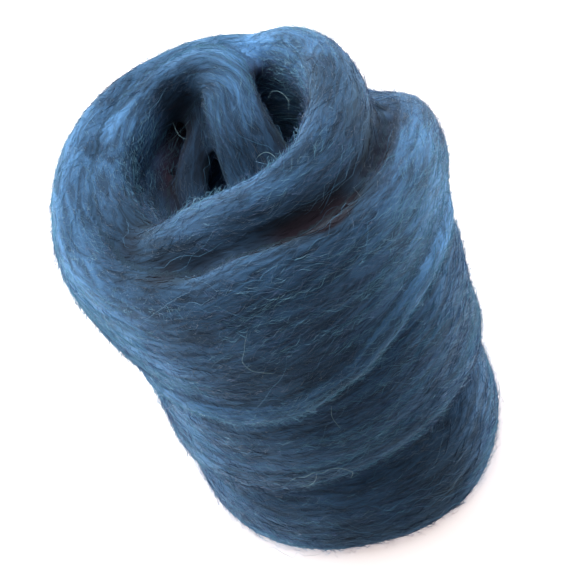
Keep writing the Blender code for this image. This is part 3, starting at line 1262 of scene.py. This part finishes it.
        # the lift: an arch held at both ends, or a free end that rises
        half_turns = put(MATH, (share, self.HALF_TURN), "MULTIPLY")
        arch = put(MATH, (half_turns,), "SINE")
        rise = put(MATH, (share, self.FREE_RISE), "POWER")
        is_free = put(MATH, (self._drawn(0.0, 1.0, fibre, 8), given["Free Ends"]), "LESS_THAN")
        free = put(MATH, (rise, arch), "SUBTRACT")
        free = put(MATH, (is_free, free), "MULTIPLY")
        profile = put(MATH, (arch, free), "ADD")
        most = self._drawn(0.0, 1.0, fibre, 9)
        most = put(MATH, (most, most), "MULTIPLY")
        reach = put(MATH, (given["Most Lift"], given["Least Lift"]), "SUBTRACT")
        reach = put(MATH, (most, reach, given["Least Lift"]), "MULTIPLY_ADD")
        begun = self._drawn(0.0, self.TURN, fibre, 10)
        ripple = put(MATH, (self.waves, self.RIPPLE, begun), "MULTIPLY_ADD")
        ripple = put(MATH, (ripple,), "SINE")
        ripple = put(MATH, (ripple, self.RIPPLE_HEIGHT, 1.0), "MULTIPLY_ADD")
        height = put(MATH, (reach, profile), "MULTIPLY")
        height = put(MATH, (height, ripple), "MULTIPLY")
        height = put(MATH, (height, self.open_here), "MULTIPLY")
        height = put(MATH, (height, ROOT_DEPTH * MM), "SUBTRACT")

        # loose fibres also wander off their line
        noise = {"Vector": put(COMBINE, (self.waves, fibre)), "Scale": self.WANDER_SCALE, "Detail": 1.0}
        wander = put(NOISE, noise).outputs["Color"]
        wander = put(VECTOR_MATH, (wander, (0.5, 0.5, 0.5)), "SUBTRACT")
        strayed = put(MATH, (given["Wander"], profile), "MULTIPLY")
        wander = put(VECTOR_MATH, {"Vector": wander, "Scale": strayed}, "SCALE")
        lift = put(VECTOR_MATH, {"Vector": normal, "Scale": height}, "SCALE")
        place = put(VECTOR_MATH, (on_skin, lift), "ADD")
        place = put(VECTOR_MATH, (place, wander), "ADD")
        place = put(VECTOR_MATH, (place, (ANYWHERE, ANYWHERE, FLOOR_GAP * MM)), "MAXIMUM")
        points = put(MOVE, {"Geometry": points, "Position": place})

        taper = put(MATH, (arch, self.TAPER_POWER), "POWER")
        taper = put(MATH, (taper, 1.0 - self.TIP_WIDTH, self.TIP_WIDTH), "MULTIPLY_ADD")
        spread = self._drawn(*self.WIDTH_SPREAD, fibre, 11)
        width = put(MATH, (given["Half Width"], spread), "MULTIPLY")
        width = put(MATH, (width, taper), "MULTIPLY")
        roll = put(MATH, (self._drawn(-1.0, 1.0, fibre, 12), given["Roll"]), "MULTIPLY")
        for name, value, kind in (
            ("fibre", fibre, "INT"),
            ("share", share, "FLOAT"),
            ("width", width, "FLOAT"),
            ("roll", roll, "FLOAT"),
            ("lie", normal, VECTOR),
            ("on_skin", on_turn.outputs["Is Valid"], "BOOLEAN"),
        ):
            points = put(STORE, {"Geometry": points, "Name": name, "Value": value}, data_type=kind)
        off = put("FunctionNodeBooleanMath", (put(READ, ("on_skin",), data_type="BOOLEAN"),), "NOT")
        return put("GeometryNodeDeleteGeometry", {"Geometry": points, "Selection": off})

    def _ribbons(self, points: Node) -> Node:
        """Joins each fibre's points in a line and sweeps a flat ribbon along it.

        Args:
            points: the points, in their places.

        Returns:
            The ribbons.
        """
        put = self.put
        fibre = put(READ, ("fibre",), data_type="INT")
        rows = {"Points": points, "Curve Group ID": fibre, "Weight": put(READ, ("share",))}
        curves = put("GeometryNodePointsToCurves", rows)

        # it lies flat on the skin, but for its roll
        lie = put(READ, ("lie",), data_type=VECTOR)
        beside = put(VECTOR_MATH, (put("GeometryNodeInputTangent"), lie), "CROSS_PRODUCT")
        parts = []
        for way, share in ((lie, "COSINE"), (beside, "SINE")):
            scale = put(MATH, (put(READ, ("roll",)),), share)
            parts.append(put(VECTOR_MATH, {"Vector": way, "Scale": scale}, "SCALE"))
        turned = put(VECTOR_MATH, tuple(parts), "ADD")
        curves = put("GeometryNodeSetCurveNormal", {"Curve": curves, "Normal": turned}, mode="FREE")
        ends = {"Start": (1.0, 0.0, 0.0), "End": (-1.0, 0.0, 0.0)}
        across = put("GeometryNodeCurvePrimitiveLine", ends)
        swept = {"Curve": curves, "Profile Curve": across, "Scale": put(READ, ("width",))}
        return put("GeometryNodeCurveToMesh", swept)


@dataclass(frozen=True)
class FibreLayer:
    """One tone of the fibres that lie on the wool, or the loose ones over them.

    Attributes:
        name: the piece's name.
        finish: its wool.
        density: roots on each square centimetre, over all tones.
        tone_from, tone_to: the share of the clumps' tones that this layer takes.
        shortest, longest: fibre lengths, in millimetres.
        half_width: half a fibre's width, in millimetres. A real fibre is 0.02 mm wide, so one here stands
            for a lock of a few side by side.
        slant: the most that a fibre crosses the flow, in millimetres for each one along it.
        wave, wave_length: how far it waves to each side, and how often, in millimetres.
        least_lift, most_lift: how high it stands off the skin, in millimetres.
        free_ends: the share of fibres with one end free.
        wander: how far it strays off its line, in millimetres.
        roll: the most that it is turned about its own length, in degrees.
        shading: how much painted shade a fold gives the tone, by deepening it.
        mix: how much a fibre's own tone counts beside its clump's.
        points: points along a fibre.
        seed: the seed of all that is random in it.
    """

    name: str
    finish: WoolFibre
    density: float = 78.0
    tone_from: float = -9.0
    tone_to: float = 9.0
    shortest: float = 2.5
    longest: float = 7.5
    half_width: float = 0.05
    slant: float = 0.85
    wave: float = 0.35
    wave_length: float = 3.2
    least_lift: float = 0.03
    most_lift: float = 0.32
    free_ends: float = 0.1
    wander: float = 0.25
    roll: float = 9.0
    shading: float = 0.9
    mix: float = 0.1
    points: int = 6
    seed: int = 7

    def values(self, guide: bpy.types.Object) -> dict[str, Any]:
        """Gives the tree's inputs.

        Args:
            guide: the helper that the fibres are laid on.

        Returns:
            Input names and values, in metres and radians.
        """
        counts = {"Points": self.points, "Seed": self.seed}
        others = {"Guide": guide, "Material": self.finish.material()}
        return in_tree_units(self, FIBRE_UNITS) | counts | others


COMBED = (
    # name, finish, and the tones that it takes
    # fibres_shade is painted shade: the fibres that the folds' painted shade and the darkening patches push
    # to the darkest tone
    ("fibres_shade", WoolFibre("wool_shade", Tone.SHADE, sheen=0.1), -9.0, 0.2),
    ("fibres_deep", WoolFibre("wool_deep", Tone.DEEP), 0.2, 0.36),
    ("fibres_dark", WoolFibre("wool_dark", Tone.DARK), 0.36, 0.45),
    ("fibres_mid", WoolFibre("wool_mid", Tone.MID), 0.45, 0.54),
    ("fibres_light", WoolFibre("wool_light", Tone.LIGHT), 0.54, 0.64),
    ("fibres_pale", WoolFibre("wool_pale", Tone.PALE), 0.64, 9.0),
)
FUZZ = FibreLayer(
    "fuzz_dark",
    WoolFibre("wool_fuzz_dark", Tone.DARK),
    density=285.0,
    tone_from=0.2,
    tone_to=0.42,
    shortest=1.0,
    longest=2.8,
    half_width=0.036,
    slant=1.2,
    wave=0.2,
    wave_length=1.8,
    least_lift=0.05,
    most_lift=1.7,
    free_ends=0.8,
    wander=0.45,
    roll=40.0,
    mix=0.2,
    points=4,
    seed=31,
)
FUZZ_MID = WoolFibre("wool_fuzz_mid", Tone.VIOLET)
FUZZ_PALE = WoolFibre("wool_fuzz_pale", Tone.PALE)
FLYAWAY = FibreLayer(
    "flyaway_fibres",
    WoolFibre("wool_flyaway", Tone.LIGHT),
    density=2.8,
    shortest=8.0,
    longest=20.0,
    half_width=0.03,
    slant=1.0,
    wave=0.9,
    wave_length=7.0,
    least_lift=0.4,
    most_lift=2.4,
    free_ends=0.4,
    wander=2.5,
    roll=90.0,
    points=12,
    seed=47,
)


@dataclass
class Fleece:
    """All the fibres that are scattered over the wound form."""

    layers: tuple[FibreLayer, ...] = (
        *(FibreLayer(name, finish, tone_from=low, tone_to=high) for name, finish, low, high in COMBED),
        FUZZ,
        replace(FUZZ, name="fuzz_mid", finish=FUZZ_MID, tone_from=0.42, tone_to=0.53),
        replace(FUZZ, name="fuzz_pale", finish=FUZZ_PALE, tone_from=0.53, tone_to=9.0),
        FLYAWAY,
    )

    def build(self, guide: bpy.types.Object, skin: bpy.types.Object) -> None:
        """Grows each layer.

        Args:
            guide: the helper that the fibres are laid on.
            skin: the piece that they start from.
        """
        tree = FibreTree().tree
        for layer in self.layers:
            piece = grown(skin, tree, layer.values(guide), layer.name)
            for name in FIBRE_NOTES:
                note = piece.data.attributes.get(name)
                if note is not None:
                    piece.data.attributes.remove(note)
            seat(piece)


@dataclass(frozen=True)
class StrayFibre:
    """One long fibre that lies loose on the outer turns, or curls out of the hollow.

    Attributes:
        places: points that it passes, in millimetres.
        lift: how far it lies outwards of them, away from the axis, in millimetres.
        half_width: half its thickness, in millimetres.
        steps: points that each place is drawn with.
        tip: radians of the taper's half wave left off at each end, so that the tips aren't needles.
    """

    places: Rows
    lift: float = 0.7
    half_width: float = 0.045
    steps: int = 6
    tip: float = 0.15

    def spline(self, curve: bpy.types.Curve) -> None:
        """Adds the fibre to a curve.

        Args:
            curve: the curve that holds them all.
        """
        rows = np.array(self.places)
        away = rows[:, :2] / np.linalg.norm(rows[:, :2], axis=1)[:, None]
        rows[:, :2] += self.lift * away
        fine = np.linspace(0, len(rows) - 1, self.steps * len(rows))
        i = np.clip(fine.astype(int), 0, len(rows) - 2)
        line = cubic(rows, np.gradient(rows, axis=0), i, (fine - i)[:, None])
        spline = curve.splines.new("POLY")
        spline.points.add(len(line) - 1)
        spline.points.foreach_set("co", np.column_stack([line * MM, np.ones(len(line))]).ravel())
        taper = np.sin(np.linspace(self.tip, np.pi - self.tip, len(line))) ** 0.5
        spline.points.foreach_set("radius", taper * self.half_width)


@dataclass
class StrayFibres:
    """The few single fibres, given one by one."""

    name: str = "stray_fibres"
    finish: WoolFibre = WoolFibre("wool_stray", Tone.TIP)
    fibres: tuple[StrayFibre, ...] = (
        StrayFibre(
            (
                (-15.0, -31.6, 29.0), (-13.5, -32.4, 30.2), (-12.0, -32.9, 30.3), (-10.2, -33.3, 31.2),
                (-8.5, -33.6, 30.9), (-6.8, -33.7, 31.4), (-5.2, -33.6, 30.9), (-4.0, -33.5, 29.9),
                (-2.9, -32.6, 27.6), (-3.5, -32.0, 25.5),
            ),
            half_width=0.07,
        ),
        StrayFibre(((-9.6, -33.0, 30.8), (-10.2, -32.4, 28.2), (-11.6, -31.6, 26.2), (-13.6, -30.6, 25.6))),
        StrayFibre(
            (
                (-14.0, -36.7, 74.9), (-14.9, -36.7, 72.7), (-15.6, -36.6, 70.4), (-16.4, -36.5, 68.4),
                (-16.0, -36.5, 66.7), (-15.2, -36.8, 65.6), (-13.6, -37.2, 64.9), (-11.8, -37.6, 64.4),
            ),
        ),
        StrayFibre(((-3.3, -34.6, 49.3), (-3.7, -34.8, 46.4), (-2.8, -35.1, 43.1))),
        StrayFibre(
            ((-23.8, 21.5, 75.0), (-21.6, 21.8, 76.6), (-18.6, 20.6, 79.2), (-15.6, 20.6, 81.6)),
            lift=0.0,
            half_width=0.025,
        ),
        StrayFibre(
            ((-24.5, 19.0, 71.5), (-23.2, 19.6, 74.8), (-20.6, 19.2, 76.4), (-18.4, 20.0, 79.6)),
            lift=0.0,
            half_width=0.025,
        ),
        StrayFibre(
            (
                (-20.2, 27.8, 80.0), (-19.2, 23.9, 80.6), (-18.6, 20.7, 79.0), (-17.2, 19.8, 78.0),
                (-16.0, 21.6, 79.0), (-16.3, 23.9, 80.0),
            ),
            lift=0.0,
            half_width=0.045,
        ),
        StrayFibre(
            ((0.6, 18.6, 83.0), (1.8, 18.3, 84.6), (3.3, 16.9, 85.0), (4.4, 15.0, 84.0), (4.0, 13.1, 83.0)),
            lift=0.0,
            half_width=0.045,
        ),
        StrayFibre(
            ((-4.9, 5.6, 79.0), (-4.0, 4.9, 80.4), (-2.5, 4.6, 81.0), (-1.2, 2.7, 81.0), (-0.6, 0.5, 80.0)),
            lift=0.0,
            half_width=0.045,
        ),
    )

    def build(self) -> None:
        """Makes them as one mesh of thin tubes."""
        curve = bpy.data.curves.new(self.name, "CURVE")
        curve.dimensions = "3D"
        curve.bevel_depth = MM
        curve.bevel_resolution = 1
        curve.use_fill_caps = True
        for fibre in self.fibres:
            fibre.spline(curve)
        rough = bpy.data.objects.new(self.name + "_rough", curve)
        mesh = bpy.data.meshes.new_from_object(rough)
        bpy.data.objects.remove(rough)
        mesh.name = self.name
        mesh.materials.clear()
        mesh.materials.append(self.finish.material())
        mesh.shade_smooth()
        seat(new_object(self.name, mesh))


# ---------------------------------------------------------------- the studio


@dataclass(frozen=True)
class Panel:
    """A soft white panel of the studio, far off.

    Attributes:
        toward: the way to its middle.
        strength: how bright its middle is.
        edge: the cosine, off its middle, at which it ends.
        full: the cosine within which it is at its brightest.
    """

    toward: tuple[float, float, float]
    strength: float
    edge: float
    full: float


@dataclass(frozen=True)
class Studio:
    """A pale floor, soft panels above, behind and to the sides, and the camera."""

    front: float = 0.02  # how bright the room is on the camera's side
    room_colour: str = "#f7faff"
    panels: tuple[Panel, ...] = (
        Panel((0.0, 0.1, 1.0), 2.9, 0.72, 1.0),
        Panel((0.0, -0.75, 0.6), 0.22, 0.72, 1.0),
        Panel((-0.59, 0.81, 0.09), 2.3, 0.65, 1.0),
        Panel((0.85, 0.38, -0.2), 4.6, 0.62, 1.0),
        Panel((-0.88, 0.15, -0.35), 4.6, 0.58, 1.0),
        Panel((-0.2, 0.93, -0.31), 2.9, 0.08, 1.36),
    )
    softbox_place: tuple[float, float, float] = (-0.36, 0.21, 0.76)
    softbox_size: float = 0.9
    softbox_power: float = 4.1  # watts
    floor_size: float = 6.0
    floor_colour: str = "#f4f5f6"
    floor_roughness: float = 0.9
    glow_colour: str = "#ffe9de"
    glow: float = 0.62  # light that comes up through the table
    elevation: float = 42.0  # degrees that the camera looks down
    distance: float = 0.390  # metres from the point that it aims at
    aim_height: float = 0.045  # metres up to that point
    roll: float = 15.5  # degrees
    focal: float = 1905.0  # in pixels of the frame's width
    centre: tuple[float, float] = (319.5, 297.0)  # where the aim lands in the frame
    frame_width: float = 576.0
    sensor: float = 36.0  # mm
    nearest: float = 0.01  # metres, the least that the camera sees from

    def build(self) -> None:
        """Makes the floor, the lights, the world and the camera."""
        self._floor()
        self._world()
        self._softbox()
        self._camera()
        bpy.context.scene.view_settings.view_transform = "Standard"

    def _floor(self) -> None:
        """Lays the floor: matt paper, which gives no highlight, lit from below so that it stays pale."""
        mesh = bpy.data.meshes.new("studio_floor")
        build = bmesh.new()
        bmesh.ops.create_grid(build, x_segments=1, y_segments=1, size=self.floor_size / 2)
        build.to_mesh(mesh)
        build.free()
        values = {
            "Base Color": linear(self.floor_colour),
            "Roughness": self.floor_roughness,
            "Emission Color": linear(self.glow_colour),
            "Emission Strength": self.glow,
        }
        mesh.materials.append(new_material("matt_paper", values))
        floor = new_object("studio_floor", mesh)
        floor.visible_diffuse = False
        floor.visible_shadow = False

    def _world(self) -> None:
        """Lights the room: bright from above, behind and the sides, dim from the camera's side."""
        world = bpy.data.worlds.new("studio_room")
        world.use_nodes = True
        bpy.context.scene.world = world
        tree = world.node_tree
        put = partial(add_node, tree)
        way = put("ShaderNodeTexCoord").outputs["Generated"]
        strength: Any = self.front
        for panel in self.panels:
            middle = tuple(Vector(panel.toward).normalized())
            facing = put(VECTOR_MATH, (way, middle), "DOT_PRODUCT").outputs["Value"]
            fade = {"Value": facing, "From Min": panel.edge, "From Max": panel.full, "To Max": panel.strength}
            glow = put(RANGE, fade, interpolation_type="SMOOTHSTEP")
            strength = put(MATH, (strength, glow), "ADD")
        background = tree.nodes["Background"]
        tree.links.new(result(strength), background.inputs["Strength"])
        background.inputs["Color"].default_value = linear(self.room_colour)

    def _softbox(self) -> None:
        """Hangs a square soft light that points at the roll."""
        light = bpy.data.lights.new("overhead", "AREA")
        light.energy = self.softbox_power
        light.size = self.softbox_size
        holder = new_object("overhead", light)
        holder.location = self.softbox_place
        aim = Vector((0.0, 0.0, self.aim_height)) - Vector(self.softbox_place)
        holder.rotation_euler = aim.to_track_quat("-Z", "Y").to_euler()

    def _camera(self) -> None:
        """Sets the camera up in front, looking down, and rolled."""
        lens = bpy.data.cameras.new("camera")
        holder = new_object("camera", lens)
        tilt, turn = radians(self.elevation), radians(self.roll)
        ahead = Vector((0.0, cos(tilt), -sin(tilt)))
        right = Vector((1.0, 0.0, 0.0))
        up = Vector((0.0, sin(tilt), cos(tilt)))
        rolled_right = cos(turn) * right - sin(turn) * up
        rolled_up = sin(turn) * right + cos(turn) * up
        place = Vector((0.0, 0.0, self.aim_height)) - self.distance * ahead
        turned = Matrix((rolled_right, rolled_up, -ahead)).transposed().to_4x4()
        holder.matrix_world = Matrix.Translation(place) @ turned
        lens.sensor_width = self.sensor
        lens.lens = self.sensor * self.focal / self.frame_width
        lens.shift_x = -(self.centre[0] - self.frame_width / 2) / self.frame_width
        lens.shift_y = (self.centre[1] - self.frame_width / 2) / self.frame_width
        lens.clip_start = self.nearest
        bpy.context.scene.camera = holder


def main() -> None:
    """Builds the roll piece by piece, then the studio."""
    logging.basicConfig(level=logging.INFO, format="%(name)s: %(message)s")
    turns = WoundRoll().build()
    skin = FeltedSkin().build(turns)
    Fleece().build(turns, skin)
    StrayFibres().build()
    bpy.data.objects.remove(turns)
    skin.data.attributes.remove(skin.data.attributes["outward"])
    Studio().build()


if __name__ == "__main__":
    main()
